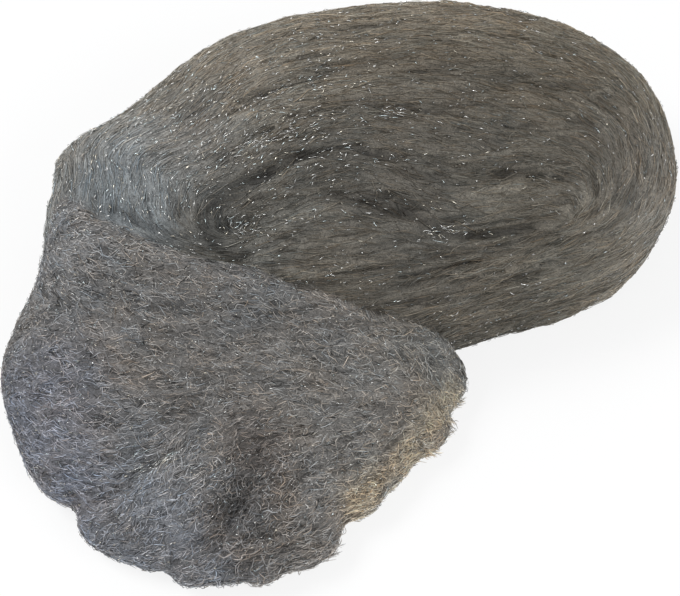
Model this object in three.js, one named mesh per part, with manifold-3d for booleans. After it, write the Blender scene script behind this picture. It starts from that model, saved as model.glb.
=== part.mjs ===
// A steel wool pad. One ribbon of steel wool is rolled into a flat oval pad, and its outer end is
// peeled off at the left end of the roll, leans on the front and spreads as a loose flap.
// Millimetres, +Z up, the long axis of the roll along X, the underside flat at z = 0.

import * as THREE from "three";
import { mergeVertices } from "three/addons/utils/BufferGeometryUtils.js";
import Module from "manifold-3d";

// The roll, an oval loaf: slim at the back left, where its end sticks out as a small tip, and
// flatter in front of a full corner at the front right
const rollLength = 122;
const rollDepth = 70;
const rollHeight = 38;
const widestHeight = 16;
const outlineSquareness = 2.25;
const domeSquareness = 2.3;
const footWidth = 0.84;
const slimCorner = { angle: 145, spread: 34, amount: 0.2 };
const leftTip = { angle: 163, spread: 8, amount: -0.09 };
const flatFront = { angle: 293, spread: 18, amount: 0.06 };
const fullCorner = { angle: 320, spread: 24, amount: -0.035 };

// The core that the ribbon is wound round, a bent line from its left end to its right end, in
// shares of half the roll's length and depth
const coreLine = [
  [-0.35, -0.51],
  [-0.2, -0.46],
  [-0.05, -0.43],
  [0.05, -0.49],
  [0.15, -0.62],
  [0.26, -0.7],
  [0.52, -0.7],
];

// Where the turns lie: turns of the ribbon out from the core, and the share of the way from the
// core to the outline. The outermost turn is the thickest.
const turnShares = [
  [0, 0],
  [0.75, 0.19],
  [1.75, 0.36],
  [2.75, 0.5],
  [3.5, 1],
];

// The grooves between the turns, at their full depth where the core is looseWidth or more from
// the outline. Their width is in turns, and they fade out over these shares at core and outline.
const innerGroove = 2.8;
const outerGroove = 1.5;
const footGroove = 1.2;
const grooveWidth = 0.14;
const looseWidth = 40;
const fadeAtCore = 0.12;
const fadeAtOutline = 0.15;
const coreGroove = 2;
const coreGrooveWidth = 0.07;

// The flap, measured from the roll's left end and from its front
const flapOverhang = 7.5;
const flapLength = 84.5;
const flapSpread = 37.5;
const flapThickness = 4;
const leaningThickness = 2.5;
const raggedness = 0.6;
const raggedUpTo = 6;
const wholeFrom = 10;
const smoothing = 1;
const tuckDepth = 1;
const coverReach = 1.05;
const coverEnd = 1.25;

// The flap's edge on the table, from the left end of the roll round to the torn end at the right:
// shares of the flap's length and spread, and the height of the middle of the edge in flap
// thicknesses
const tableEdge = [
  [0.155, -0.96, 4.5],
  [0.12, -0.74, 3],
  [0.06, -0.53, 2.25],
  [0.008, -0.32, 2],
  [-0.004, -0.1, 2],
  [0.01, 0.08, 2],
  [0.034, 0.28, 1.75],
  [0.073, 0.435, 1.5],
  [0.127, 0.52, 1.25],
  [0.136, 0.63, 1.25],
  [0.164, 0.73, 1.25],
  [0.229, 0.815, 1.25],
  [0.293, 0.875, 1.25],
  [0.331, 0.946, 1.25],
  [0.412, 0.98, 1.25],
  [0.498, 0.986, 1.25],
  [0.578, 0.965, 1.125],
  [0.644, 0.908, 1],
  [0.671, 0.813, 1],
  [0.731, 0.728, 1],
  [0.783, 0.658, 1],
  [0.855, 0.512, 0.875],
  [0.925, 0.396, 0.875],
  [0.968, 0.24, 0.875],
  [0.989, 0.133, 1],
  [0.994, 0.055, 1.25],
  [0.967, -0.012, 1.625],
];

// The flap's edge on the roll, from the torn end back to the left, in shares of half the roll's
// length and depth
const leaningEdge = [
  [-0.005, -0.97],
  [-0.116, -0.9],
  [-0.223, -0.84],
  [-0.354, -0.72],
  [-0.448, -0.66],
  [-0.595, -0.54],
  [-0.764, -0.33],
];
const flapMiddle = [0.44, 0.2];

// Dents and lumps of the wool: the centre in the same shares as the edges, then the length along
// the angle and the width across it in dent spans, and the height in dent depths
const dentSpan = 10;
const dentDepth = 2.5;
const rollDents = [
  { at: [-0.36, -0.51], angle: 0, length: 0.7, width: 0.5, height: -1.4 },
  { at: [-0.44, -0.54], angle: 0, length: 0.4, width: 0.9, height: -0.8 },
  { at: [-0.66, 0.23], angle: 60, length: 1.8, width: 1.2, height: 0.6 },
  { at: [-0.13, -0.31], angle: 0, length: 1.2, width: 0.4, height: 0.6 },
  { at: [0.2, -0.4], angle: -15, length: 1.2, width: 0.4, height: -0.6 },
];
const flapDents = [
  { at: [0.266, 0.48], angle: 38, length: 1.2, width: 0.3, height: -1.2 },
  { at: [0.385, 0.293], angle: 15, length: 0.8, width: 0.4, height: -0.8 },
  { at: [0.515, 0.48], angle: 50, length: 0.6, width: 0.5, height: -1 },
  { at: [0.444, 0.693], angle: 60, length: 0.8, width: 0.4, height: -1 },
  { at: [0.325, 0.667], angle: 40, length: 0.8, width: 0.7, height: 1 },
  { at: [0.527, 0.827], angle: 10, length: 0.8, width: 0.5, height: 0.8 },
  { at: [0.444, 0.507], angle: 40, length: 0.4, width: 0.5, height: 0.8 },
  { at: [0.74, 0.4], angle: 30, length: 1.4, width: 0.6, height: 0.6 },
];

const woolColor = 0x6b6862;
const woolMetalness = 0.7;
const woolRoughness = 0.6;

// Facets: rays round each form, and the rows of points along a ray
const rollRays = 72;
const turnRows = [0, grooveWidth, 0.5, 1 - grooveWidth];
const rowGap = 0.1;
const topEdgeRows = [0.9, 0.945, 0.98, 1];
const undercutSlopes = [60, 30];
const flapRays = 96;
const flapRows = [0.14, 0.28, 0.4, 0.5, 0.6, 0.69, 0.77, 0.84, 0.9, 0.94, 0.975];
const flapRimSquareness = 10;
const flapFootRows = [
  [1, 1],
  [0.975, 0.4],
  [0.94, 0],
];
const ragRays = [3.7, 6.1];
const edgeSamples = 60;
const outlineSamples = 1200;
const weldDistance = 1e-3;

const { clamp, degToRad, euclideanModulo, lerp, smoothstep } = THREE.MathUtils;
const halfRoll = new THREE.Vector2(rollLength / 2, rollDepth / 2);
const onRoll = ([x, y]) => new THREE.Vector2(x, y).multiply(halfRoll);
const flapCorner = halfRoll.clone().negate().sub(new THREE.Vector2(flapOverhang, 0));
const onFlap = ([x, y]) => new THREE.Vector2(x * flapLength, -y * flapSpread).add(flapCorner);
const core = new THREE.SplineCurve(coreLine.map(onRoll));

// How far out the outline is at an angle, against an even oval's 1.
function fullness(angle) {
  let full = 1;
  for (const corner of [slimCorner, leftTip, flatFront, fullCorner]) {
    const off = (euclideanModulo(angle, 2 * Math.PI) - degToRad(corner.angle)) / degToRad(corner.spread);
    full -= corner.amount * Math.exp(-off * off);
  }
  return full;
}

// A point of the roll's plan. Share 0 is on the core, share 1 on the outline.
function rollPlan(share, angle) {
  const bend = (value) => Math.sign(value) * Math.abs(value) ** (2 / outlineSquareness);
  const outline = onRoll([bend(Math.cos(angle)), bend(Math.sin(angle))]);
  return core.getPoint((1 + Math.cos(angle)) / 2).lerp(outline.multiplyScalar(fullness(angle)), share);
}

// How far out a point of the plan is: 0 in the middle of the roll, 1 on its outline.
function outness(plan) {
  const x = plan.x / halfRoll.x;
  const y = plan.y / halfRoll.y;
  const even = Math.abs(x) ** outlineSquareness + Math.abs(y) ** outlineSquareness;
  return even ** (1 / outlineSquareness) / fullness(Math.atan2(y, x));
}

// Height of the smooth top of the roll over a point of the plan.
function rollTop(plan) {
  const dome = Math.max(0, 1 - outness(plan) ** domeSquareness) ** (1 / domeSquareness);
  return widestHeight + (rollHeight - widestHeight) * dome;
}

function dentHeight(dents, place, plan) {
  let height = 0;
  for (const dent of dents) {
    const off = plan.clone().sub(place(dent.at)).rotateAround(new THREE.Vector2(), -degToRad(dent.angle));
    off.divideScalar(dentSpan);
    height += dentDepth * dent.height * Math.exp(-((off.x / dent.length) ** 2) - (off.y / dent.width) ** 2);
  }
  return height;
}

// Looks a value up in a table of pairs, with straight lines between the pairs.
function lookUp(table, value, from, to) {
  const next = Math.max(1, table.findIndex((pair) => pair[from] >= value));
  const [a, b] = [table[next - 1], table[next]];
  return lerp(a[to], b[to], (value - a[from]) / (b[from] - a[from]));
}

const turnsOut = (share) => lookUp(turnShares, share, 1, 0);
const shareOut = (turns) => lookUp(turnShares, turns, 0, 1);

// 1 in the groove between two turns, 0 outside it.
function grooveAt(share, turn) {
  const off = Math.abs(turn - Math.round(turn)) / grooveWidth;
  return clamp(1 - off, 0, 1) * Math.min(1, share / fadeAtCore, (1 - share) / fadeAtOutline);
}

function topPoint(share, angle, turn) {
  const plan = rollPlan(share, angle);
  const width = rollPlan(1, angle).distanceTo(rollPlan(0, angle));
  const depth = lerp(innerGroove, outerGroove, share) * Math.min(1, width / looseWidth);
  const slit = coreGroove * Math.max(0, 1 - share / coreGrooveWidth);
  const dents = dentHeight(rollDents, onRoll, plan) * (1 - share ** 6);
  return new THREE.Vector3(plan.x, plan.y, rollTop(plan) + dents - depth * grooveAt(share, turn) - slit);
}

function footPoint(share, angle, turn) {
  const plan = rollPlan(share * footWidth, angle);
  return new THREE.Vector3(plan.x, plan.y, footGroove * grooveAt(share, turn));
}

// The rows of a face along one ray: both ends, a row beside the core, and the turns' own lines.
function faceRows(phase, lastShare, pointAt) {
  const angle = 2 * Math.PI * phase;
  const row = (share, turn) => ({ turn, point: pointAt(share, angle, turn) });
  const first = phase + turnsOut(coreGrooveWidth);
  const last = phase + turnsOut(lastShare);
  const rows = [row(0, phase), row(coreGrooveWidth, first)];
  for (let whole = 0; whole < last; whole++) {
    for (const part of turnRows) {
      const turn = whole + part;
      if (turn > first + rowGap && turn < last - rowGap) rows.push(row(shareOut(turn - phase), turn));
    }
  }
  rows.push(row(lastShare, last));
  return rows;
}

function undercutPoint(slope, angle) {
  const plan = rollPlan(lerp(footWidth, 1, Math.sin(degToRad(slope))), angle);
  return new THREE.Vector3(plan.x, plan.y, widestHeight * (1 - Math.cos(degToRad(slope))));
}

// Joins two rows of points by triangles, stepping along whichever row is behind.
function zip(a, b, shift, emit) {
  let i = 0;
  let j = 0;
  while (i < a.length - 1 || j < b.length - 1) {
    const stepA = j === b.length - 1 || (i < a.length - 1 && a[i + 1].turn <= b[j + 1].turn + shift);
    if (stepA) emit(a[i].point, b[j].point, a[++i].point);
    else emit(a[i].point, b[j].point, b[++j].point);
  }
}

const numbered = (points) => points.map((point, turn) => ({ turn, point }));

// The closed solid whose surface is given as triangles, three corners each.
function solidOf(corners) {
  const positions = new THREE.Float32BufferAttribute(corners.flatMap((p) => p.toArray()), 3);
  const loose = new THREE.BufferGeometry().setAttribute("position", positions);
  const welded = mergeVertices(loose, weldDistance);
  const surface = new wasm.Mesh({
    numProp: 3,
    vertProperties: welded.attributes.position.array,
    triVerts: new Uint32Array(welded.index.array),
  });
  return new wasm.Manifold(surface);
}

function makeRoll() {
  const rays = [];
  for (let k = 0; k < rollRays; k++) {
    const phase = k / rollRays;
    const angle = 2 * Math.PI * phase;
    const top = faceRows(phase, topEdgeRows[0], topPoint);
    const foot = faceRows(phase, 1, footPoint);
    const shoulder = topEdgeRows.slice(1).map((share) => topPoint(share, angle, 1 / 2));
    const undercut = undercutSlopes.map((slope) => undercutPoint(slope, angle));
    const side = numbered([top.at(-1).point, ...shoulder, ...undercut, foot.at(-1).point]);
    rays.push({ top, foot, side });
  }
  const corners = [];
  rays.forEach((ray, k) => {
    const next = rays[(k + 1) % rollRays];
    const shift = k + 1 === rollRays ? 1 : 0;
    zip(ray.top, next.top, shift, (p, q, r) => corners.push(p, r, q));
    zip(ray.side, next.side, 0, (p, q, r) => corners.push(p, r, q));
    zip(ray.foot, next.foot, shift, (p, q, r) => corners.push(p, q, r));
  });
  return solidOf(corners);
}

// The distance to an edge, and its height there, for which its nearest points count most.
function nearEdge(edge, plan) {
  let sum = 0;
  let weights = 0;
  let gap = Infinity;
  for (const point of edge) {
    const squared = (point.x - plan.x) ** 2 + (point.y - plan.y) ** 2;
    const weight = (squared + smoothing ** 2) ** -2;
    sum += weight * point.z;
    weights += weight;
    gap = Math.min(gap, Math.sqrt(squared));
  }
  return { height: sum / weights, gap };
}

// The point where a closed edge crosses the ray that leaves the middle at an angle.
function edgeOnRay(edge, middle, angle) {
  const turned = (point) => {
    const own = Math.atan2(point.y - middle.y, point.x - middle.x);
    return euclideanModulo(own - angle + Math.PI, 2 * Math.PI) - Math.PI;
  };
  for (let i = 0; i < edge.length - 1; i++) {
    const before = turned(edge[i]);
    const after = turned(edge[i + 1]);
    if (before <= 0 && after > 0 && after - before < Math.PI) {
      return edge[i].clone().lerp(edge[i + 1], before / (before - after));
    }
  }
  throw new Error("The edge never crosses the ray.");
}

function makeFlap() {
  const low = tableEdge.map(([x, y, z]) => new THREE.Vector3(...onFlap([x, y]), z * flapThickness));
  const high = leaningEdge.map((shares) => {
    const plan = onRoll(shares);
    return new THREE.Vector3(plan.x, plan.y, rollTop(plan) - tuckDepth);
  });
  const lowEdge = new THREE.CatmullRomCurve3(low).getSpacedPoints(edgeSamples);
  const highEdge = new THREE.CatmullRomCurve3(high).getSpacedPoints(edgeSamples);
  const outline = new THREE.CatmullRomCurve3([...low, ...high], true, "centripetal");
  const edge = outline.getSpacedPoints(outlineSamples);
  const middle = onFlap(flapMiddle);

  // The top slopes from the roll down to the table, and covers what it leans on.
  const topAt = (plan) => {
    const table = nearEdge(lowEdge, plan);
    const roll = nearEdge(highEdge, plan);
    const down = roll.gap / (roll.gap + table.gap);
    const slope = lerp(roll.height + leaningThickness, table.height + flapThickness, down);
    const past = smoothstep(outness(plan), coverReach, coverEnd);
    const cover = (rollTop(plan.clone().divideScalar(coverReach)) + leaningThickness) * (1 - past);
    return Math.max(slope + dentHeight(flapDents, onFlap, plan), cover);
  };

  const rays = Array.from({ length: flapRays }, (_, k) => {
    const point = edgeOnRay(edge, middle, (2 * Math.PI * k) / flapRays);
    const wave = Math.sin((2 * Math.PI * k) / ragRays[0]) + Math.sin((2 * Math.PI * k) / ragRays[1]);
    const torn = smoothstep(point.x, -halfRoll.x, 0) * (1 - smoothstep(point.z, raggedUpTo, wholeFrom));
    const rim = new THREE.Vector2(point.x, point.y);
    rim.addScaledVector(rim.clone().sub(middle).normalize(), raggedness * wave * lerp(0.2, 1, torn));
    const at = (share, height) => {
      const plan = middle.clone().lerp(rim, share);
      const z = height ?? lerp(point.z, topAt(plan), Math.sqrt(1 - share ** flapRimSquareness));
      return new THREE.Vector3(plan.x, plan.y, z);
    };
    const top = flapRows.map((share) => at(share));
    const foot = flapFootRows.map(([share, height]) => at(share, height * point.z));
    return numbered([...top, ...foot]);
  });
  const peak = new THREE.Vector3(middle.x, middle.y, topAt(middle));
  const foot = peak.clone().setZ(0);
  const corners = [];
  rays.forEach((ray, k) => {
    const next = rays[(k + 1) % flapRays];
    corners.push(peak, ray[0].point, next[0].point);
    zip(ray, next, 0, (p, q, r) => corners.push(p, r, q));
    corners.push(foot, next.at(-1).point, ray.at(-1).point);
  });
  return solidOf(corners);
}

const wasm = await Module();
wasm.setup();

const joined = makeRoll().add(makeFlap()).getMesh();
const geometry = new THREE.BufferGeometry()
  .setAttribute("position", new THREE.BufferAttribute(new Float32Array(joined.vertProperties), 3))
  .setIndex(new THREE.BufferAttribute(new Uint32Array(joined.triVerts), 1));
geometry.computeVertexNormals();

// The origin is under the middle of the pad's bounding box.
geometry.computeBoundingBox();
const { min, max } = geometry.boundingBox;
geometry.translate(-(min.x + max.x) / 2, -(min.y + max.y) / 2, 0);

const material = new THREE.MeshStandardMaterial({
  color: woolColor,
  metalness: woolMetalness,
  roughness: woolRoughness,
});
const wool = new THREE.Mesh(geometry, material);
wool.name = "wool_ribbon";

const pad = new THREE.Group();
pad.add(wool);

export default pad;
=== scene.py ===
"""Looks of the steel wool pad: its body of packed wool, and the fibres along its ribbon."""

import bpy
import numpy as np
from mathutils import Matrix, Vector
from mathutils.kdtree import KDTree


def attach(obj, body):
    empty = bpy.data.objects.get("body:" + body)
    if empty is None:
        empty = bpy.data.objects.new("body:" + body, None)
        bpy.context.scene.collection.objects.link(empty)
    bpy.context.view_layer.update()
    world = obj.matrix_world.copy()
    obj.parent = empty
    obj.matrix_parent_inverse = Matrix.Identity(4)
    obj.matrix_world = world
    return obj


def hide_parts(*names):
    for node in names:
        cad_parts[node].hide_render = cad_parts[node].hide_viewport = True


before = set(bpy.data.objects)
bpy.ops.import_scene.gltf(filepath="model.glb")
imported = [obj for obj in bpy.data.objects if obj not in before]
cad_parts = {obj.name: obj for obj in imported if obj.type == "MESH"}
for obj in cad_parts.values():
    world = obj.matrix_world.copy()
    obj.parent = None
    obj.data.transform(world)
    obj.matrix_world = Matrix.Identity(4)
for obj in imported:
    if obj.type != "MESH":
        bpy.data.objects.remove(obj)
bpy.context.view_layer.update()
rng = np.random.default_rng(11)
MM = 0.001

# The camera, as fitted to the photograph: angles in degrees, lengths in mm, and the pixel on which
# the aimed point falls in a 680 x 596 picture
AZIMUTH, ELEVATION, LENS, DISTANCE = -8.3, 62.0, 85.0, 300.0
SENSOR = 36.0
AIM, AIM_PIXEL, PICTURE = (3.9, 18.9, 20.0), (352, 167), (680, 596)

# The ribbon in mm, as in the part. In plan: the roll's middle, half its length and depth, the line
# that its core follows, and the turns that lie inside a share of the way out. In height: where the
# roll is widest and how far its top rises over that. CORNERS hold the places where the outline is
# slimmer or fuller than an oval: the angle and how far it spreads, in degrees, and by what share.
# SLOPES say how densely the turns lie at some shares of the way out, in turns for the whole way.
ROLL_MIDDLE = np.array([3.9, 18.9])
HALF = np.array([61.0, 35.0])
SQUARENESS, DOME = 2.25, 2.3
WIDEST, DOME_HEIGHT = 16.0, 22.0
CORE = HALF * [
    (-0.35, -0.51), (-0.2, -0.46), (-0.05, -0.43), (0.05, -0.49), (0.15, -0.62), (0.26, -0.7),
    (0.52, -0.7),
]
SHARES, TURNS = [0, 0.19, 0.36, 0.5, 1], [0, 0.75, 1.75, 2.75, 3.5]
SLOPE_SHARES, SLOPES = [0.1, 0.3, 0.45, 0.6, 0.75], [3.9, 5.9, 7.1, 2.5, 1.5]
CORNERS = [(145, 34, 0.2), (163, 8, -0.09), (293, 18, 0.06), (320, 24, -0.035)]

# The flap's outline in plan, in mm
FLAP_EDGE = [
    (-51.5, 19.9), (-54.5, 11.6), (-59.5, 3.8), (-63.9, -4.1), (-64.9, -12.4), (-63.8, -19.1),
    (-61.7, -26.6), (-58.4, -32.4), (-53.9, -35.6), (-53.1, -39.7), (-50.7, -43.5), (-45.2, -46.7),
    (-39.8, -48.9), (-36.6, -51.6), (-29.8, -52.9), (-22.5, -53.1), (-15.8, -52.3), (-10.2, -50.2),
    (-7.9, -46.6), (-2.8, -43.4), (1.6, -40.8), (7.6, -35.3), (13.6, -31), (17.2, -25.1),
    (19, -21.1), (19.4, -18.2), (17.1, -15.8), (10, -15.2), (3.6, -14.2), (-0.3, -12.4),
    (-7.8, -9.9), (-14.4, -7), (-20.8, -2.5), (-32.4, 0), (-42.7, 7.3),
]

# How the fibres run on the flap: places in plan and directions in degrees, and how far each reaches
WAY_REACH = 6.0
FLAP_WAYS = [
    (-52, -9, -17), (-43, -6, -24), (-33, -14, -26), (-19, -12, -27), (-22, -18, -22),
    (-7, -17, -22), (-6, -23, -26), (8, -21, -31), (-54, -19, -17), (-41, -23, -14), (-29, -25, -5),
    (-12, -26, -25), (-2, -28, -8), (14, -23, -31), (-54, -26, -20), (-49, -32, -22), (-39, -29, 9),
    (-32, -32, 21), (-36, -38, 27), (-42, -45, 38), (-32, -43, 32), (-22, -36, 30), (-13, -35, -2),
    (-5, -34, 1), (-9, -40, 12), (-16, -44, 16), (-20, -49, 1), (-28, -50, 35), (5, -32, -12),
    (1, -39, 1), (-38, 0, -29), (-26, -5, -31), (-47, 1, -20),
]

# Colours of the wool in linear light, and patches of painted light and shade: place in plan, reach
# and colour. Where no patch reaches, the wool's own colour counts with the weight PLAIN.
PLAIN = 0.35
ROLL_COLOUR = (0.20, 0.18, 0.145)
FLAP_COLOUR = (0.286, 0.273, 0.26)
# Painted light and shade on the roll: lighter and bluer on the shoulder, lighter on the top's back
# and the ends, darker in the middle, the eye, the creases of the core and the front
ROLL_LIGHT_AND_SHADE = [
    (-39, 13, 9, (0.275, 0.325, 0.365)),
    (-52, 25, 7, (0.31, 0.30, 0.28)),
    (-24, 29, 12, (0.345, 0.316, 0.27)),
    (-11, 42, 6, (0.33, 0.30, 0.25)),
    (4, 46, 7, (0.36, 0.318, 0.255)),
    (24, 47, 8, (0.345, 0.30, 0.235)),
    (-27, 19, 5, (0.37, 0.355, 0.335)),
    (4, 38, 11, (0.26, 0.228, 0.18)),
    (30, 38, 18, (0.225, 0.195, 0.15)),
    (20, 20, 8, (0.165, 0.147, 0.12)),
    (57, 3, 8.5, (0.27, 0.25, 0.22)),
    (42, 9, 7, (0.125, 0.113, 0.092)),
    (32, -8.5, 4, (0.13, 0.118, 0.096)),
    (26, 0, 4, (0.24, 0.22, 0.18)),
    (11, 0, 5, (0.105, 0.096, 0.082)),
    (-21, 10.5, 4, (0.125, 0.118, 0.107)),
    (46, -8, 7, (0.25, 0.23, 0.19)),
    (6, 8, 14, (0.17, 0.16, 0.14)),
    (-18, 3, 6, (0.2, 0.195, 0.175)),
]
# Painted light and shade on the flap: bluer light on its left, lighter on its ridges and tip,
# darker in the hollows by the clump
FLAP_LIGHT_AND_SHADE = [
    (-58, -20, 6.5, (0.31, 0.325, 0.385)),
    (-52, -34, 5, (0.30, 0.32, 0.385)),
    (-51, 7, 6, (0.38, 0.38, 0.385)),
    (-41, -31.5, 4.5, (0.38, 0.378, 0.38)),
    (-28, -37, 4.5, (0.385, 0.37, 0.355)),
    (11, -18, 5, (0.40, 0.38, 0.34)),
    (-38, -46, 8, (0.36, 0.377, 0.418)),
    (-25.5, -43.5, 4, (0.235, 0.215, 0.205)),
    (-20.5, -34.5, 3.5, (0.27, 0.235, 0.215)),
    (-22.5, -44.5, 4.5, (0.2, 0.187, 0.175)),
    (-11, -46.5, 6, (0.38, 0.35, 0.32)),
    (0, -28, 9, (0.34, 0.32, 0.295)),
]

# The torn edge of the flap in plan, with the reach of the lighter straw brown painted along it
TORN_EDGE = [(16.5, -24.4), (12.1, -28.8), (8.2, -32.6), (4.8, -35.7), (-0.1, -39.8), (-4.1, -42)]
TORN_COLOUR, TORN_REACH = (0.61, 0.525, 0.40), 3.0

# In plan: the tangled clump on the flap's front, the eye of the roll, the roll's part that gets
# the most painted glints, and small tufts that leave the outline
CLUMP_MIDDLE, CLUMP_REACH = (-24, -42), 6.0
EYE_MIDDLE, EYE_REACH = (-19, 2), (9, 7)
GLINT_MIDDLE, GLINT_REACH = (-20, 20), (18, 12)
TUFTS = [(-43.5, 23.3), (-49, 23.8), (17.2, -24), (14.4, -28.8), (10.3, -33.1), (-10, -48.9)]
TUFT_REACH = 0.9

# Lines in plan along which painted glints lie, as where many fibres catch the light
GLINT_LINES = [
    [(-41, -32.6), (-37.3, -33.1), (-34, -33.2)],
    [(-17, 14), (-5, 17.5)],
    [(-20, 4), (-16.5, 2)],
    [(14.5, -4.6), (20, -3.4)],
    [(10, 17.6), (12, 18.2)],
]
GLINT_LINE_REACH = 1.2

# Creases and pits of the wool, in plan: the points of each, its width and its depth in mm, and the
# share of painted shade that darkens it. A depth below 0 is a ridge.
CREASES = [
    ([(-51, -37.2), (-46, -35.4), (-42, -34)], 0.9, 0.25, 0.08),
    ([(-39, -32.6), (-37, -32.2), (-35.2, -31.4), (-33, -31), (-31.2, -30), (-29.4, -29.2),
      (-28.3, -28.4)], 1.0, 0.55, 0.18),
    ([(-40.5, -35), (-37, -34.6), (-32.5, -34)], 1.3, -0.2, 0.0),
    ([(-40.6, 9.2), (-35.6, 5.1), (-30.8, 1.6), (-25.8, -0.4), (-20, -1.8)], 1.1, 0.4, 0.2),
    ([(0.3, 9.5), (-6.5, 11.6), (-13.5, 9.2), (-20.9, 7.3), (-24.1, 4.8), (-24.2, 1.7),
      (-22.6, -0.8), (-19.1, -2.9)], 1.5, 0.7, 0.42),
    # A broad band of painted shade beside the eye's crease, with almost no depth
    ([(0.3, 9.5), (-6.5, 11.6), (-13.5, 9.2), (-20.9, 7.3), (-24.1, 4.8), (-24.2, 1.7)],
     4.0, 0.05, 0.26),
    ([(-23, -0.3), (-20.8, -1.9)], 1.5, 0.6, 0.2),
    ([(-19.8, 3), (-17, 2.9)], 1.3, 0.4, 0.14),
    ([(3.7, 12.1), (9.8, 8.3), (14.5, 4.5), (22.5, 3), (33.2, 4.7)], 1.4, 0.35, 0.15),
    ([(-0.4, 2.9), (4.6, 0.8), (10.9, -0.7), (14.4, -3.5), (21.3, -4), (32, -4.4)],
     1.6, 0.55, 0.27),
    ([(15.4, 27.7), (28.7, 27.6), (40.5, 25.7), (50, 22)], 1.8, 0.25, 0.1),
    ([(48.3, 21.2), (46.7, 10.2), (44.3, 1.8)], 2.5, 0.1, 0.07),
    ([(3, -14.4), (9, -15.4), (14, -16)], 1.2, 0.3, 0.14),
    ([(-19.5, -32.5), (-21.5, -37), (-24, -41), (-27.5, -43.8)], 2.2, 0.4, 0.22),
    ([(-24.3, -41.4), (-27.3, -43.6)], 1.9, 0.6, 0.42),
    ([(-27.5, -43.8), (-30.1, -47), (-32, -49.5)], 1.8, 0.3, 0.15),
    ([(-20.4, -48.2), (-22, -46.5)], 1.0, 0.4, 0.2),
]

# The skin in mm: the size of its faces, and how far the locks and strands of wool lift it, for one
# unit of their noise. The roll's locks stand higher on the part of its top that shows the turns.
SKIN_FACE = 0.8
ROLL_LOCKS, SHOWN_LOCKS, ROLL_STRANDS = 0.09, 0.07, 0.1
FLAP_LOCKS, FLAP_STRANDS, FLAP_TANGLE = 0.05, 0.11, 0.04

# How much the skin's tone differs, as shares, for the roll and the flap: warm and cold noise at
# random, painted light and shade on the locks, painted shade in hollows, and the painted shade of
# the body that shows between the fibres against the fibres themselves
HUE_TONE, LOCK_SHADE, HOLLOW_SHADE, BODY_SHADE = (0.012, 0.022), (0.09, 0.03), (0.4, 0.25), (0.6, 0.4)
# Painted shade in the grooves between turns, and painted light on the roll's rims and the flap's
# low edge
GROOVE_SHADE, LIT_RIM_TONE, LIT_LOW_EDGE_TONE = 0.15, 0.2, 0.22
DARKEST, LIGHTEST = 0.35, 1.5

# How wide a groove between turns is, in turns, and how far the flap reaches past its outline in mm
# where it lies beside the roll
GROOVE_WIDTH, FLAP_LAP = 0.07, 2.5

# How many fibres there are of each kind, and the most triangles in a piece
ROLL_FIBRES, FLAP_FIBRES, STRAY_FIBRES, FAINT_GLINTS, GLINTS = 16800, 18600, 1400, 3000, 2600
CLUMP_FIBRES, TUFT_FIBRES, TORN_FIBRES, CLUMP_GLINTS, STREAK_GLINTS = 900, 150, 350, 90, 200
PIECE_TRIANGLES = 190000

# The least height of a fibre over the table in mm, its width at its ends as a share, and how
# densely the underside and the back are covered, as a share of the rest
LOWEST, END_WIDTH = 0.06, 0.45
UNDER_COVER, BACK_COVER = 0.06, 0.6

# The tints of the painted glints, white, cool and warm, with how often each comes
GLINT_TINTS = np.array([(0.95, 0.95, 0.93), (0.82, 0.93, 0.95), (0.95, 0.89, 0.76)])
TINT_CHANCES = (0.6, 0.2, 0.2)

# In metres: the floor's height, just under the pad, how far it reaches each way, and the place that
# the lamps face
FLOOR_HEIGHT, FLOOR_REACH = -0.0001, 3
PAD_MIDDLE = Vector((0, 0, 0.02))


def unit(v):
    """Vectors of length 1 along v."""
    return v / (np.linalg.norm(v, axis=-1, keepdims=True) + 1e-12)


def ramp(value, zero, one):
    """0 up to one value, 1 from the other, and even between them."""
    return np.clip((value - zero) / (one - zero), 0, 1)


def core_point(t):
    """The core line as a Catmull-Rom curve through its points."""
    p = np.clip(t, 0, 1) * (len(CORE) - 1)
    i = np.minimum(p.astype(int), len(CORE) - 2)
    w = (p - i)[..., None]
    a, b, c, d = (CORE[np.clip(i + k, 0, len(CORE) - 1)] for k in (-1, 0, 1, 2))
    u, v = (c - a) / 2, (d - b) / 2
    return (2 * b - 2 * c + u + v) * w**3 + (3 * c - 3 * b - 2 * u - v) * w**2 + u * w + b


def fullness(angle):
    """How much fuller than an oval the roll's outline is at an angle."""
    full = np.ones_like(angle)
    for at, spread, amount in CORNERS:
        off = (np.degrees(angle) - at + 180) % 360 - 180
        full = full - amount * np.exp(-((off / spread) ** 2))
    return full


def roll_plan(share, angle):
    """The place in plan that lies a share of the way from the core line to the outline."""
    bent = np.stack([np.cos(angle), np.sin(angle)], -1)
    bent = np.sign(bent) * np.abs(bent) ** (2 / SQUARENESS)
    outline = bent * HALF * fullness(angle)[..., None]
    core = core_point((1 + np.cos(angle)) / 2)
    return core + (outline - core) * share[..., None]


def outness(plan):
    """0 in the roll's middle and 1 on its outline, for places in plan round that middle."""
    x, y = (plan / HALF).T
    oval = (np.abs(x) ** SQUARENESS + np.abs(y) ** SQUARENESS) ** (1 / SQUARENESS)
    return oval / fullness(np.arctan2(y, x))


def roll_top(out):
    """The height of the roll's top at an outness."""
    return WIDEST + DOME_HEIGHT * np.maximum(0, 1 - out**DOME) ** (1 / DOME)


def in_outline(points, outline):
    """Whether places in plan lie inside a closed outline."""
    inside = np.zeros(len(points), bool)
    for (ax, ay), (bx, by) in zip(outline, outline[1:] + outline[:1]):
        crosses = (ay > points[:, 1]) != (by > points[:, 1])
        at = ax + (points[:, 1] - ay) * (bx - ax) / (by - ay + 1e-12)
        inside ^= crosses & (points[:, 0] < at)
    return inside


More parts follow.
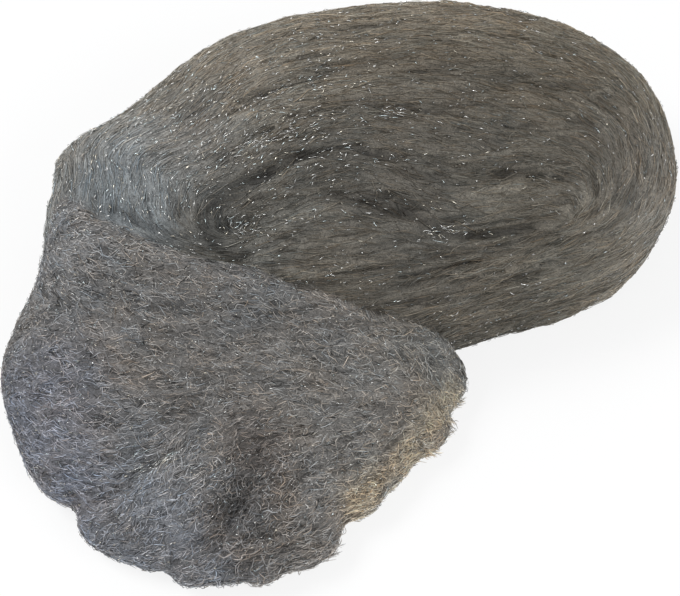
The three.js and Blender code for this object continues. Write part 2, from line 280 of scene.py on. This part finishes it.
def roll_ways(plan):
    """For places in plan round the roll's middle: the way along the turns, and the turn number."""
    nudge = 0.01
    grid_shares, grid_angles = np.linspace(0.02, 1.02, 51), np.linspace(0, 2 * np.pi, 720, False)
    shares, angles = (g.ravel() for g in np.meshgrid(grid_shares, grid_angles, indexing="ij"))
    spots = roll_plan(shares, angles)
    outward = (roll_plan(shares + nudge, angles) - spots) / nudge
    onward = (roll_plan(shares, angles + nudge) - spots) / nudge
    tree = KDTree(len(spots))
    for i, (x, y) in enumerate(spots):
        tree.insert((x, y, 0), i)
    tree.balance()
    near = np.array([tree.find((x, y, 0))[1] for x, y in plan])
    outward, onward, off = outward[near], onward[near], plan - spots[near]
    det = outward[:, 0] * onward[:, 1] - outward[:, 1] * onward[:, 0]
    det = np.where(np.abs(det) < 1e-3, 1e-3, det)
    share = shares[near] + (off[:, 0] * onward[:, 1] - off[:, 1] * onward[:, 0]) / det
    share = np.clip(share, 0, 1.05)
    angle = angles[near] + (outward[:, 0] * off[:, 1] - outward[:, 1] * off[:, 0]) / det
    turn = angle / (2 * np.pi) + np.interp(share, SHARES, TURNS)
    slope = np.interp(share, SLOPE_SHARES, SLOPES)
    return unit(onward - outward / (2 * np.pi * slope)[:, None]), turn


def flap_ways(plan):
    """The way of the fibres on the flap. Angles are doubled, because a fibre has no front end."""
    spots = np.array([w[:2] for w in FLAP_WAYS], float)
    twice = np.radians([2 * w[2] for w in FLAP_WAYS])
    near = np.exp(-(((plan[:, None] - spots) ** 2).sum(-1)) / (2 * WAY_REACH**2)) + 1e-9
    angle = np.arctan2(near @ np.sin(twice), near @ np.cos(twice)) / 2
    return np.stack([np.cos(angle), np.sin(angle)], -1)


def tinted(plan, colour, patches):
    """Places' colours: the wool's own, with the painted light and shade of the patches in reach."""
    total, weight = np.tile(colour, (len(plan), 1)) * PLAIN, np.full((len(plan), 1), PLAIN)
    for x, y, reach, tint in patches:
        w = np.exp(-((plan - (x, y)) ** 2).sum(1, keepdims=True) / (2 * reach**2))
        total, weight = total + w * np.array(tint), weight + w
    return total / weight


def near_line(plan, line, width):
    """1 on a line in plan, and less away from it."""
    line = np.array(line, float)
    gap = np.full(len(plan), np.inf)
    for p, q in zip(line[:-1], line[1:]):
        t = np.clip((plan - p) @ (q - p) / ((q - p) @ (q - p)), 0, 1)
        gap = np.minimum(gap, ((plan - p - t[:, None] * (q - p)) ** 2).sum(1))
    return np.exp(-gap / width**2)


# The body: the part's solid with a finer skin
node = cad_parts["wool_ribbon"]
rough_body = bpy.data.objects.new("rough_body", node.data.copy())
bpy.context.scene.collection.objects.link(rough_body)
remesh = rough_body.modifiers.new("skin", "REMESH")
remesh.mode = "VOXEL"
remesh.voxel_size = SKIN_FACE * MM
bpy.context.view_layer.update()
evaluated = rough_body.evaluated_get(bpy.context.evaluated_depsgraph_get())
skin = bpy.data.meshes.new_from_object(evaluated)
bpy.data.objects.remove(rough_body)

count = len(skin.vertices)
place = np.empty(count * 3, np.float32)
skin.vertices.foreach_get("co", place)
place = place.reshape(-1, 3).astype(float) / MM
ends = np.empty(len(skin.edges) * 2, np.int32)
skin.edges.foreach_get("vertices", ends)
ends = ends.reshape(-1, 2)
first, second = np.concatenate([ends, ends[:, ::-1]]).T


def spread_over(values, weights, times, keep=0.5):
    """Each vertex's value moved towards its neighbours', by the weights of its edges."""
    total = np.bincount(first, weights, count) + 1e-9
    columns = values.reshape(count, -1).T
    for _ in range(times):
        mean = np.array([np.bincount(first, weights * c[second], count) for c in columns]) / total
        columns = keep * columns + (1 - keep) * mean
    return columns.T.reshape(values.shape)


def skin_normals(points):
    """The skin moved to these points in mm, and its normals there."""
    skin.vertices.foreach_set("co", (points * MM).astype(np.float32).ravel())
    skin.update()
    normal = np.empty(count * 3, np.float32)
    skin.vertices.foreach_get("normal", normal)
    return unit(normal.reshape(-1, 3).astype(float))


def by_cover(on_roll, on_flap):
    """One value for each vertex: the roll's, the flap's, or a blend at the flap's edge."""
    share = flap_share if np.ndim(on_roll) < 2 else flap_share[:, None]
    return on_roll * (1 - share) + on_flap * share


# The roll's left shoulder is smoothed more than the rest, since no groove runs over it
even = np.ones(len(first))
place = spread_over(place, even, 2)
x, y, z = place.T
shoulder = (ramp(x, -20, -28) * ramp(z, 10, 16) * ramp(y, 6, 12))[:, None]
place = place * (1 - shoulder) + spread_over(place, even, 40) * shoulder
normal = skin_normals(place)

# What the flap covers, which is all within its outline that lies over the roll's top or beside the
# roll, and the way that the fibres run
x, y, z = place.T
plan = place[:, :2] - ROLL_MIDDLE
out = outness(plan)
on_flap = in_outline(place[:, :2], FLAP_EDGE)
on_flap |= in_outline(place[:, :2] - unit(plan) * FLAP_LAP, FLAP_EDGE) & (out > 1.02)
on_flap &= (z > roll_top(np.minimum(out, 1)) + 0.3) | (out > 1.0)
flap_share = spread_over(on_flap.astype(float), even, 2)
turn_way, turn = roll_ways(plan)
way = np.concatenate([by_cover(turn_way, flap_ways(place[:, :2])), np.zeros((count, 1))], 1)
way = unit(way - normal * (way * normal).sum(1, keepdims=True) + 1e-4)
way = unit(spread_over(way, even, 2))

# Locks of fibres: noise that is drawn out along the ribbon lifts and tints the skin
step = unit(place[second] - place[first])
along = np.abs((step * way[first]).sum(1)) ** 6 + 0.004


def normed(noise):
    """Noise with a mean of 0 and a deviation of 1."""
    return (noise - noise.mean()) / noise.std()


def streaks(before, times):
    """Noise that is first spread evenly and then drawn out along the fibres."""
    value = spread_over(rng.standard_normal(count), even, before)
    return normed(spread_over(value, along, times, keep=0.3))


coarse, fine = streaks(3, 40), streaks(0, 14)
loose = normed(spread_over(rng.standard_normal(count), even, 10))
under = ramp(z, 0.6, 0)

# How plainly the turns show on the roll's top, and how near a place is to a groove between them
eye = np.exp(-(((place[:, :2] - EYE_MIDDLE) / EYE_REACH) ** 2).sum(1))
shown = np.maximum(0.1 + 0.9 * ramp(x, -32, -14) * ramp(x, 52, 36), eye)
groove = by_cover(np.abs(turn - np.round(turn)), 1)
in_groove = np.exp(-((groove / GROOVE_WIDTH) ** 2)) * ramp(z, 6, 12) * (out < 0.97) * shown

# The lift of the skin: locks and strands, hollows that are filled in part, and the creases
deep = np.clip((normal * (spread_over(place, even, 25) - place)).sum(1), 0, 2)
lines, widths, depths, crease_shades = zip(*CREASES)
closeness = [near_line(place[:, :2], line, width) for line, width in zip(lines, widths)]
closeness = np.array(closeness) * (normal[:, 2] > 0.2)
crease = closeness * np.array(depths)[:, None]
crease = crease.max(0) + crease.min(0)
# Painted shade in the creases
crease_shade = (closeness * np.array(crease_shades)[:, None]).max(0)
roll_lift = (ROLL_LOCKS + SHOWN_LOCKS * shown) * coarse + ROLL_STRANDS * fine
roll_lift = roll_lift + (0.8 - 0.45 * shown) * deep
flap_lift = FLAP_LOCKS * coarse + FLAP_STRANDS * fine + FLAP_TANGLE * loose
lift = by_cover(roll_lift, flap_lift) - crease
place = place + normal * (lift * (1 - 0.85 * under))[:, None]
place[:, 2] = np.maximum(place[:, 2], 0)
normal = skin_normals(place)
hollow = (normal * (spread_over(place, even, 12) - place)).sum(1)
hollow = np.clip(hollow / 0.5, -1, 1)

# The skin's colour: painted light and shade by region, the torn edge, painted light on the rims,
# and painted shade in hollows, grooves and creases
torn = near_line(place[:, :2], TORN_EDGE, TORN_REACH) * flap_share
torn = torn * np.clip(0.8 + 0.2 * loose, 0, 1)
hue = spread_over(rng.standard_normal(count), even, 30)
hue = np.clip(hue / hue.std(), -2, 2)[:, None] * np.array([1, 0, -1])
flap_colour = tinted(place[:, :2], FLAP_COLOUR, FLAP_LIGHT_AND_SHADE)
flap_colour = flap_colour + (np.array(TORN_COLOUR) - flap_colour) * torn[:, None]
colour = by_cover(tinted(place[:, :2], ROLL_COLOUR, ROLL_LIGHT_AND_SHADE), flap_colour)
colour = colour * (1 + by_cover(*HUE_TONE)[:, None] * hue)
# Painted light: the roll's back, its right end and the rim of its top are lighter, and so is the
# flap's low edge
lit_back_rim = ramp(out, 0.6, 0.9) * ramp(plan[:, 1], -5, 15)
lit_end_rim = ramp(out, 0.78, 0.98) * ramp(plan[:, 0], 40, 52)
lit_rim = np.maximum(lit_back_rim, lit_end_rim) + 0.8 * ramp(out, 0.9, 0.97) * (place[:, 2] > 12)
lit_low_edge = ramp(place[:, 2], 8, 2)
colour = colour * by_cover(0.95 + LIT_RIM_TONE * lit_rim, 0.98 + LIT_LOW_EDGE_TONE * lit_low_edge)[:, None]
# Painted light and shade: lighter on raised locks, darker where they sink, in hollows, grooves and
# creases
shade = 1 + by_cover(*LOCK_SHADE) * coarse - by_cover(*HOLLOW_SHADE) * np.maximum(hollow, 0)
shade = np.clip(shade - GROOVE_SHADE * in_groove - crease_shade, DARKEST, LIGHTEST)
colour = colour * shade[:, None]

# The body shows between the fibres, and is painted darker than they are, as the shade that falls
# between them
body = bpy.data.objects.new("wool_body", skin)
bpy.context.scene.collection.objects.link(body)
# The vertex colours carry the wool's tone with its painted light and shade
tone = skin.color_attributes.new("wool_tone_and_light", "FLOAT_COLOR", "POINT")
shade_between = np.clip(by_cover(*BODY_SHADE) + 0.08 * fine, 0.25, 0.8)
shaded_body_colour = np.concatenate([colour * shade_between[:, None], np.ones((count, 1))], 1)
tone.data.foreach_set("color", shaded_body_colour.astype(np.float32).ravel())
skin.polygons.foreach_set("use_smooth", np.ones(len(skin.polygons), bool))

# Fibres: seeds spread over the skin, each traced along the ribbon and raised a little
tree = KDTree(count)
for i, p in enumerate(place):
    tree.insert(p, i)
tree.balance()


def nearest(points):
    """The skin's vertex that is nearest to each point."""
    return np.array([tree.find(p)[1] for p in points])


corners = np.empty(len(skin.loops), np.int32)
skin.loops.foreach_get("vertex_index", corners)
quads = corners.reshape(-1, 4)
a, b, c, d = (place[quads[:, k]] for k in range(4))
face_area = np.linalg.norm(np.cross(c - a, d - b), axis=1) / 2
face_under = place[quads][:, :, 2].max(1) < 0.5
face_flap = flap_share[quads].mean(1)
face_groove = in_groove[quads].mean(1)
face_normal = unit(np.cross(c - a, d - b))


def seeds(weights, number):
    """Places spread at random over the skin, by weight and area, and a vertex near each."""
    chance = face_area * weights
    face = rng.choice(len(quads), number, p=chance / chance.sum())
    u, v = rng.random((2, number, 1))
    p = (a[face] * (1 - u) + b[face] * u) * (1 - v) + (d[face] * (1 - u) + c[face] * u) * v
    return p, quads[face, rng.integers(0, 4, number)]


def traced(start, lengths, points, sway, curl, rise, ends_at):
    """Lines that follow the ribbon both ways from their seeds.

    sway turns a whole line and curl bends it on its way, both in radians. rise is its height over
    the skin at the middle and ends_at at its ends, in mm.
    """
    number = len(start)
    lines = np.empty((number, points, 3))
    normals = np.empty((number, points, 3))
    middle = points // 2
    step_length = lengths / (points - 1)
    vertex = nearest(start)
    turned = rng.standard_normal(number) * sway
    phase, pace = rng.random(number) * 2 * np.pi, rng.uniform(0.5, 1.6, number)
    for sign in (1, -1):
        p, v = start.copy(), vertex.copy()
        for k in range(middle + 1):
            at = middle + sign * k
            if at < 0 or at >= points:
                break
            n = normal[v]
            p = p - n * ((p - place[v]) * n).sum(1, keepdims=True)
            lines[:, at], normals[:, at] = p, n
            angle = turned + curl * np.sin(phase + pace * sign * (k + 0.5) * 1.6)
            side = np.cross(n, way[v])
            heading = way[v] * np.cos(angle)[:, None] + side * np.sin(angle)[:, None]
            p = p + sign * heading * step_length[:, None]
            v = nearest(p)
    share = np.linspace(0, 1, points)
    arch = np.sin(np.pi * share)[None, :] ** 0.7
    height = ends_at + (rise - ends_at)[:, None] * arch
    lines = lines + normals * height[..., None]
    lines[:, 1:-1] = lines[:, 1:-1] * 0.8 + (lines[:, :-2] + lines[:, 2:]) * 0.1
    lines[..., 2] = np.maximum(lines[..., 2], LOWEST)
    return lines, normals


def tubes(lines, normals, radius, colours):
    """Closed three-sided tubes along lines: vertices, quads, triangles and vertex colours."""
    number, points, _ = lines.shape
    tangent = np.empty_like(lines)
    tangent[:, 1:-1] = lines[:, 2:] - lines[:, :-2]
    tangent[:, 0], tangent[:, -1] = lines[:, 1] - lines[:, 0], lines[:, -1] - lines[:, -2]
    tangent = unit(tangent)
    side = unit(np.cross(normals, tangent))
    up = np.cross(tangent, side)
    taper = np.ones(points)
    taper[[0, -1]] = END_WIDTH
    phase = rng.random((number, 1, 1, 1)) * 2 * np.pi
    turned = phase + np.arange(3).reshape(1, 1, 3, 1) * 2 * np.pi / 3
    size = radius[:, None, None, None] * taper[None, :, None, None]
    spokes = np.cos(turned) * side[:, :, None] + np.sin(turned) * up[:, :, None]
    rings = lines[:, :, None] + size * spokes
    index = np.arange(number * points * 3).reshape(number, points, 3)
    near, far = index[:, :-1], index[:, 1:]
    sides = np.stack([near, np.roll(near, -1, 2), np.roll(far, -1, 2), far], -1).reshape(-1, 4)
    caps = np.concatenate([index[:, 0, ::-1], index[:, -1]])
    return rings.reshape(-1, 3), sides, caps, np.repeat(colours, points * 3, 0)


def mesh_piece(name, vertices, sides, caps, colours):
    """A mesh from a set of tubes."""
    mesh = bpy.data.meshes.new(name)
    mesh.vertices.add(len(vertices))
    mesh.vertices.foreach_set("co", (vertices * MM).astype(np.float32).ravel())
    mesh.loops.add(sides.size + caps.size)
    all_corners = np.concatenate([sides.ravel(), caps.ravel()]).astype(np.int32)
    mesh.loops.foreach_set("vertex_index", all_corners)
    sizes = np.concatenate([np.full(len(sides), 4), np.full(len(caps), 3)])
    starts = np.concatenate([[0], np.cumsum(sizes)[:-1]]).astype(np.int32)
    mesh.polygons.add(len(sizes))
    mesh.polygons.foreach_set("loop_start", starts)
    mesh.update(calc_edges=True)
    mesh.polygons.foreach_set("use_smooth", np.ones(len(sizes), bool))
    tone = mesh.color_attributes.new("wool_tone_and_light", "FLOAT_COLOR", "POINT")
    opaque = np.concatenate([colours, np.ones((len(colours), 1))], 1)
    tone.data.foreach_set("color", opaque.astype(np.float32).ravel())
    piece = bpy.data.objects.new(name, mesh)
    bpy.context.scene.collection.objects.link(piece)
    return piece


def fibre_colours(start, spread, bright_share):
    """Each fibre's colour: the skin's at its seed, with its painted light and shade, made lighter
    or darker at random.
    """
    at = nearest(start)
    number = len(start)
    level = 1 + spread * np.clip(rng.standard_normal(number), -1.8, 1.3)
    bright = rng.random(number) < bright_share
    level = np.where(bright, rng.uniform(1.4, 2.1, number), level)
    warmth = rng.standard_normal((number, 1)) * 0.05
    tint = colour[at] * level[:, None] * (1 + warmth * np.array([1, 0, -1]))
    return np.clip(tint, 0.02, 0.95)


def fibre_set(
    weights, number, length, points, sway, curl, rise, radius, spread, bright, ends_at=-0.25
):
    """Fibres that lie in the skin, with their ends sunk into it. Angles are in degrees."""
    start, _ = seeds(weights, number)
    lengths = rng.uniform(*length, number)
    rises = rng.uniform(*rise, number)
    sway, curl = np.radians(sway), np.radians(curl)
    lines, normals = traced(start, lengths, points, sway, curl, rises, ends_at)
    return tubes(lines, normals, rng.uniform(*radius, number), fibre_colours(start, spread, bright))


# Where the fibres are seeded: few on the underside, fewer on the back, in grooves and in creases
on_back = face_normal[:, 1] > 0.6
seen = np.where(face_under, UNDER_COVER, np.where(on_back, BACK_COVER, 1.0))
roll_weight = seen * (1 - face_flap) * (1 - 0.35 * face_groove) * (1 - 0.5 * crease[quads].mean(1))
flap_weight = seen * face_flap
face_torn = torn[quads].mean(1)
middle_of = place[quads].mean(1)[:, :2]
clump = np.exp(-((middle_of - CLUMP_MIDDLE) ** 2).sum(1) / (2 * CLUMP_REACH**2)) * face_flap

batches = {
    "roll_fibres": [
        fibre_set(
            roll_weight, ROLL_FIBRES, length=(4, 8), points=4, sway=11, curl=14,
            rise=(0.02, 0.3), radius=(0.045, 0.075), spread=0.25, bright=0.015,
        ),
    ],
    "flap_fibres": [
        fibre_set(
            flap_weight * (1 - 0.7 * face_torn), FLAP_FIBRES // 2, length=(2.2, 5), points=4,
            sway=20, curl=22, rise=(0.0, 0.25), radius=(0.045, 0.07), spread=0.52, bright=0.012,
        ),
        fibre_set(
            flap_weight * (1 + face_torn), FLAP_FIBRES // 2, length=(1.2, 3), points=4,
            sway=50, curl=38, rise=(0.0, 0.25), radius=(0.045, 0.07), spread=0.52, bright=0.025,
        ),
    ],
}


def stray_set(weights, number, length, reach, radius):
    """Loose ends that leave the skin at a low angle."""
    points, bend = 5, np.radians(30)
    start, _ = seeds(weights, number)
    lengths = rng.uniform(*length, number)
    lines, normals = traced(start, lengths, points, bend, bend, np.zeros(number), ends_at=-0.2)
    out_by = rng.uniform(*reach, number)[:, None] * np.linspace(0, 1, points)[None] ** 1.5
    lines = lines + normals * out_by[..., None]
    lines[..., 2] = np.maximum(lines[..., 2], LOWEST)
    return tubes(lines, normals, rng.uniform(*radius, number), fibre_colours(start, 0.3, 0.05))


above = np.where(face_under, 0, 1)
tufted = sum(near_line(middle_of, [spot, np.add(spot, 0.1)], TUFT_REACH) for spot in TUFTS) * above
batches["stray_fibres"] = [
    stray_set(roll_weight, int(STRAY_FIBRES * 0.45), (3, 6), (0.2, 0.7), (0.045, 0.065)),
    stray_set(flap_weight, int(STRAY_FIBRES * 0.55), (2, 5), (0.2, 0.9), (0.045, 0.065)),
    stray_set(tufted, TUFT_FIBRES, (1.2, 2.6), (0.6, 1.7), (0.05, 0.07)),
    stray_set(flap_weight * face_torn**2, TORN_FIBRES, (0.6, 1.6), (0.2, 0.8), (0.045, 0.065)),
    fibre_set(
        clump, CLUMP_FIBRES, length=(2.2, 5), points=6, sway=60, curl=45, rise=(0.3, 0.9),
        radius=(0.05, 0.08), spread=0.4, bright=0.08,
    ),
]


def glint_set(weights, number, length, radius, level, sway):
    """Short stretches of fibre with a near-white painted glint, as where fibres catch the light."""
    start, _ = seeds(weights, number)
    lengths = rng.uniform(*length, number)
    rises = rng.uniform(0.3, 0.5, number)
    lines, normals = traced(start, lengths, 3, np.radians(sway), 0.0, rises, ends_at=0.25)
    tints = GLINT_TINTS[rng.choice(len(GLINT_TINTS), number, p=TINT_CHANCES)]
    colours = tints * rng.uniform(*level, (number, 1))
    return tubes(lines, normals, rng.uniform(*radius, number), colours)


# Painted glints: most lie on the roll's upper left, along the glint lines and in the clump. The
# faint ones lie all over.
sparkling = np.exp(-(((middle_of - GLINT_MIDDLE) / GLINT_REACH) ** 2).sum(1) / 2)
roll_sparkling, roll_faint_glints = roll_weight * (0.12 + 3 * sparkling), roll_weight * (0.35 + sparkling)
on_glint_lines = np.max([near_line(middle_of, line, GLINT_LINE_REACH) for line in GLINT_LINES], 0) * above
batches["bright_fibres"] = [
    glint_set(weights, number, length, radius, level, sway)
    for weights, number, length, radius, level, sway in (
        (roll_sparkling, int(GLINTS * 0.5), (0.3, 1.3), (0.06, 0.1), (0.5, 1), 32),
        (roll_weight, int(GLINTS * 0.2), (0.3, 0.8), (0.06, 0.09), (0.4, 0.9), 20),
        (flap_weight, int(GLINTS * 0.45), (0.25, 0.7), (0.06, 0.085), (0.4, 1), 20),
        (flap_weight * clump, CLUMP_GLINTS, (0.4, 1.2), (0.055, 0.08), (0.5, 1), 60),
        (on_glint_lines, STREAK_GLINTS, (0.6, 2.4), (0.05, 0.08), (0.35, 0.8), 20),
        (roll_faint_glints, int(FAINT_GLINTS * 0.55), (0.4, 1.2), (0.055, 0.09), (0.26, 0.45), 26),
        (flap_weight, int(FAINT_GLINTS * 0.45), (0.4, 1.1), (0.055, 0.08), (0.28, 0.5), 50),
    )
]


def split(part):
    """Tubes cut into sets that each stay under the most triangles for a piece."""
    vertices, sides, caps, colours = part
    number = len(caps) // 2
    ring, quad = len(vertices) // number, len(sides) // number
    most = PIECE_TRIANGLES // (2 * quad + 2)
    order = rng.permutation(number)
    for chosen in np.array_split(order, -(-number // most)):
        chosen = np.sort(chosen)
        shift = (chosen - np.arange(len(chosen))) * ring
        chosen_caps = caps.reshape(2, number, 3)[:, chosen] - shift[:, None]
        yield (
            vertices.reshape(number, ring, 3)[chosen].reshape(-1, 3),
            (sides.reshape(number, quad, 4)[chosen] - shift[:, None, None]).reshape(-1, 4),
            chosen_caps.reshape(-1, 3),
            colours.reshape(number, ring, 3)[chosen].reshape(-1, 3),
        )


def wool_material(name, metallic, roughness, grain_scale, grain_depth, fleck, distortion=0.0):
    """Steel wool: the tone and painted light and shade on the vertices, broken up by fine grain,
    with a bump of that grain.

    fleck is the share by which the grain lightens and darkens the tone, and grain_depth is in m.
    """
    material = bpy.data.materials.new(name)
    material.use_nodes = True
    nodes, links = material.node_tree.nodes, material.node_tree.links
    shader = nodes["Principled BSDF"]
    shader.inputs["Metallic"].default_value = metallic
    own = nodes.new("ShaderNodeAttribute")
    own.attribute_name = "wool_tone_and_light"
    where = nodes.new("ShaderNodeTexCoord")
    noise = nodes.new("ShaderNodeTexNoise")
    noise.inputs["Scale"].default_value = grain_scale
    noise.inputs["Detail"].default_value = 4
    noise.inputs["Distortion"].default_value = distortion
    links.new(where.outputs["Object"], noise.inputs["Vector"])
    levels = nodes.new("ShaderNodeMapRange")
    levels.inputs["From Min"].default_value = 0.3
    levels.inputs["From Max"].default_value = 0.7
    levels.inputs["To Min"].default_value = 1 - fleck
    levels.inputs["To Max"].default_value = 1 + fleck
    links.new(noise.outputs["Fac"], levels.inputs["Value"])
    scaled = nodes.new("ShaderNodeVectorMath")
    scaled.operation = "SCALE"
    links.new(own.outputs["Color"], scaled.inputs[0])
    links.new(levels.outputs["Result"], scaled.inputs["Scale"])
    links.new(scaled.outputs["Vector"], shader.inputs["Base Color"])
    rough = nodes.new("ShaderNodeMapRange")
    rough.inputs["To Min"].default_value = roughness - 0.1
    rough.inputs["To Max"].default_value = roughness + 0.1
    links.new(noise.outputs["Fac"], rough.inputs["Value"])
    links.new(rough.outputs["Result"], shader.inputs["Roughness"])
    bump = nodes.new("ShaderNodeBump")
    bump.inputs["Strength"].default_value = 0.6
    bump.inputs["Distance"].default_value = grain_depth
    links.new(noise.outputs["Fac"], bump.inputs["Height"])
    links.new(bump.outputs["Normal"], shader.inputs["Normal"])
    return material


body_material = wool_material("packed_wool", 0.3, 0.7, 2200, 0.0002, 0.8, distortion=2.0)
fibre_material = wool_material("steel_fibre", 0.75, 0.5, 900, 0.00002, 0.2)
bright_material = wool_material("bright_fibre", 0.9, 0.25, 900, 0.00001, 0.1)

body.data.materials.clear()
body.data.materials.append(body_material)
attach(body, "root")
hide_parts("wool_ribbon")

for name, parts in batches.items():
    sets = [tube_set for part in parts for tube_set in split(part)]
    for n, tube_set in enumerate(sets):
        piece = mesh_piece(f"{name}_{n + 1}", *tube_set)
        piece.data.materials.append(bright_material if name == "bright_fibres" else fibre_material)
        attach(piece, "root")

# The stage: a pale floor that keeps the pad's shadow and reads as white to the camera
floor_mesh = bpy.data.meshes.new("floor")
around = ((-1, -1), (1, -1), (1, 1), (-1, 1))
floor_corners = [(x * FLOOR_REACH, y * FLOOR_REACH, FLOOR_HEIGHT) for x, y in around]
floor_mesh.from_pydata(floor_corners, [], [(0, 1, 2, 3)])
floor = bpy.data.objects.new("floor", floor_mesh)
bpy.context.scene.collection.objects.link(floor)


def seen_as_white(nodes, links):
    """1 for the rays that show the background: to the camera, off metal and through glass."""
    path = nodes.new("ShaderNodeLightPath")
    both = nodes.new("ShaderNodeMath")
    both.operation = "MAXIMUM"
    links.new(path.outputs["Is Camera Ray"], both.inputs[0])
    links.new(path.outputs["Is Glossy Ray"], both.inputs[1])
    each = nodes.new("ShaderNodeMath")
    each.operation = "MAXIMUM"
    links.new(both.outputs["Value"], each.inputs[0])
    links.new(path.outputs["Is Transmission Ray"], each.inputs[1])
    return each.outputs["Value"]


# The floor is whiter with distance, in metres, so that no far edge shows in a low view
pale = bpy.data.materials.new("pale_floor")
pale.use_nodes = True
nodes, links = pale.node_tree.nodes, pale.node_tree.links
nodes.remove(nodes["Principled BSDF"])
matte = nodes.new("ShaderNodeBsdfDiffuse")
matte.inputs["Color"].default_value = (0.9, 0.9, 0.9, 1)
white = nodes.new("ShaderNodeEmission")
white.inputs["Color"].default_value = (1, 1, 1, 1)
spot = nodes.new("ShaderNodeTexCoord")
reach = nodes.new("ShaderNodeVectorMath")
reach.operation = "LENGTH"
links.new(spot.outputs["Object"], reach.inputs[0])
whiteness = nodes.new("ShaderNodeMapRange")
whiteness.inputs["From Min"].default_value = 0.12
whiteness.inputs["From Max"].default_value = 0.35
whiteness.inputs["To Min"].default_value = 0.82
links.new(reach.outputs["Value"], whiteness.inputs["Value"])
share = nodes.new("ShaderNodeMath")
share.operation = "MULTIPLY"
links.new(seen_as_white(nodes, links), share.inputs[0])
links.new(whiteness.outputs["Result"], share.inputs[1])
blended = nodes.new("ShaderNodeMixShader")
links.new(share.outputs["Value"], blended.inputs["Fac"])
links.new(matte.outputs["BSDF"], blended.inputs[1])
links.new(white.outputs["Emission"], blended.inputs[2])
links.new(blended.outputs["Shader"], nodes["Material Output"].inputs["Surface"])
floor_mesh.materials.append(pale)

# The light: a pale world that the camera sees as white, and two lamps
world = bpy.data.worlds.new("studio")
bpy.context.scene.world = world
world.use_nodes = True
nodes, links = world.node_tree.nodes, world.node_tree.links
light = nodes["Background"]
light.inputs["Color"].default_value = (0.96, 0.98, 1, 1)
light.inputs["Strength"].default_value = 0.55
backdrop = nodes.new("ShaderNodeBackground")
backdrop.inputs["Color"].default_value = (1, 1, 1, 1)
backdrop.inputs["Strength"].default_value = 1
either = nodes.new("ShaderNodeMixShader")
links.new(seen_as_white(nodes, links), either.inputs["Fac"])
links.new(light.outputs["Background"], either.inputs[1])
links.new(backdrop.outputs["Background"], either.inputs[2])
links.new(either.outputs["Shader"], nodes["World Output"].inputs["Surface"])


def softbox(name, at, size, power):
    """A lamp that faces the pad's middle, with its place and size in m and its power in W."""
    lamp = bpy.data.lights.new(name, "AREA")
    lamp.shape = "RECTANGLE"
    lamp.size, lamp.size_y, lamp.energy = size, size * 0.7, power
    box = bpy.data.objects.new(name, lamp)
    box.location = at
    box.rotation_euler = (Vector(at) - PAD_MIDDLE).to_track_quat("Z", "Y").to_euler()
    bpy.context.scene.collection.objects.link(box)


softbox("key", (-0.5, 0.25, 0.75), 0.4, 5)
softbox("fill", (0.5, -0.5, 0.6), 0.6, 3)

# The camera: back is the way from the pad to it, and the aimed point falls on its own pixel
azimuth, elevation = np.radians(AZIMUTH), np.radians(ELEVATION)
level_back = np.array([np.sin(azimuth), -np.cos(azimuth), 0])
back = level_back * np.cos(elevation) + np.array([0, 0, np.sin(elevation)])
right = np.array([np.cos(azimuth), np.sin(azimuth), 0])
up = np.cross(back, right)
per_pixel = DISTANCE / (LENS / SENSOR * PICTURE[0])
stand = np.array(AIM) + back * DISTANCE
stand -= right * (AIM_PIXEL[0] - PICTURE[0] / 2) * per_pixel
stand += up * (AIM_PIXEL[1] - PICTURE[1] / 2) * per_pixel
camera = bpy.data.objects.new("camera", bpy.data.cameras.new("camera"))
camera.data.lens, camera.data.sensor_width = LENS, SENSOR
camera.data.clip_start, camera.data.clip_end = 0.01, 20
rows = [[*row, at * MM] for row, at in zip(np.stack([right, up, back], 1), stand)]
camera.matrix_world = Matrix([*rows, [0, 0, 0, 1]])
bpy.context.scene.collection.objects.link(camera)
bpy.context.scene.camera = camera
bpy.context.scene.view_settings.view_transform = "Standard"
